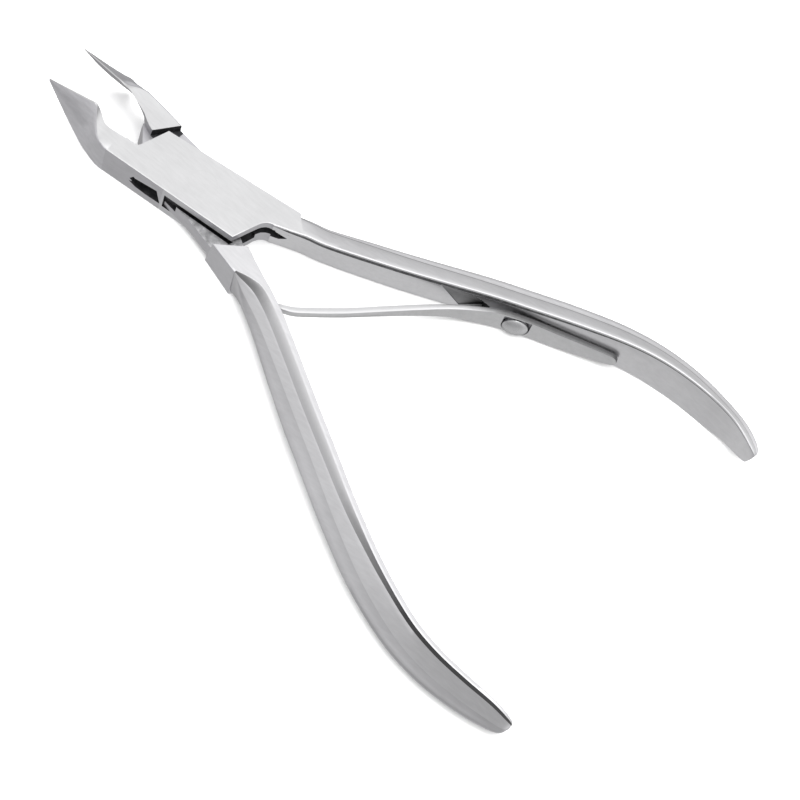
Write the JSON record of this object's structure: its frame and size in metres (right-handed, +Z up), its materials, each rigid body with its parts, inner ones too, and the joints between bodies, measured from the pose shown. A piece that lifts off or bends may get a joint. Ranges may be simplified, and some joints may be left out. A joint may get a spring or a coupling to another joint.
{
  "type": "cuticle nipper",
  "caption": "Steel cuticle nipper with a slotted box joint, pointed angled cutting jaws, long curved handles and a tapered leaf spring screwed inside one handle",
  "frame": {"origin": "the pivot axis where it meets the plane that the nipper lies on", "axes": "+X from the joint to the handles, +Y towards the handle that carries the spring, +Z up along the pivot axis"},
  "size_m": [0.1055, 0.0617, 0.0071],
  "materials": {
    "forged_steel": "satin ground stainless steel",
    "rivet_steel": "ground flush with the plates",
    "spring_steel": "fine satin spring steel",
    "screw_steel": "turned and lightly polished"
  },
  "bodies": {
    "box_lever": {"box_lever": "forged_steel", "pivot_rivet": "rivet_steel", "spring_root": "spring_steel", "spring_screw": "screw_steel"},
    "tongue_lever": {"tongue_lever": "forged_steel"},
    "spring_arm": {"spring_arm": "spring_steel"}
  },
  "joints": [
    {"name": "lever_pivot", "type": "hinge", "parent": "box_lever", "child": "tongue_lever", "pos_m": [0, 0, 0], "axis": [0, 0, 1], "range_deg": [-3, 15], "stiffness_Nm_per_rad": 0.6},
    {"name": "spring_flex", "type": "hinge", "parent": "box_lever", "child": "spring_arm", "pos_m": [0.0395, 0.015, 0], "axis": [0, 0, 1], "range_deg": [-16.6, 3.4]}
  ],
  "couplings": [
    {"joint": "spring_flex", "follows": "lever_pivot", "ratio": -1.1}
  ]
}
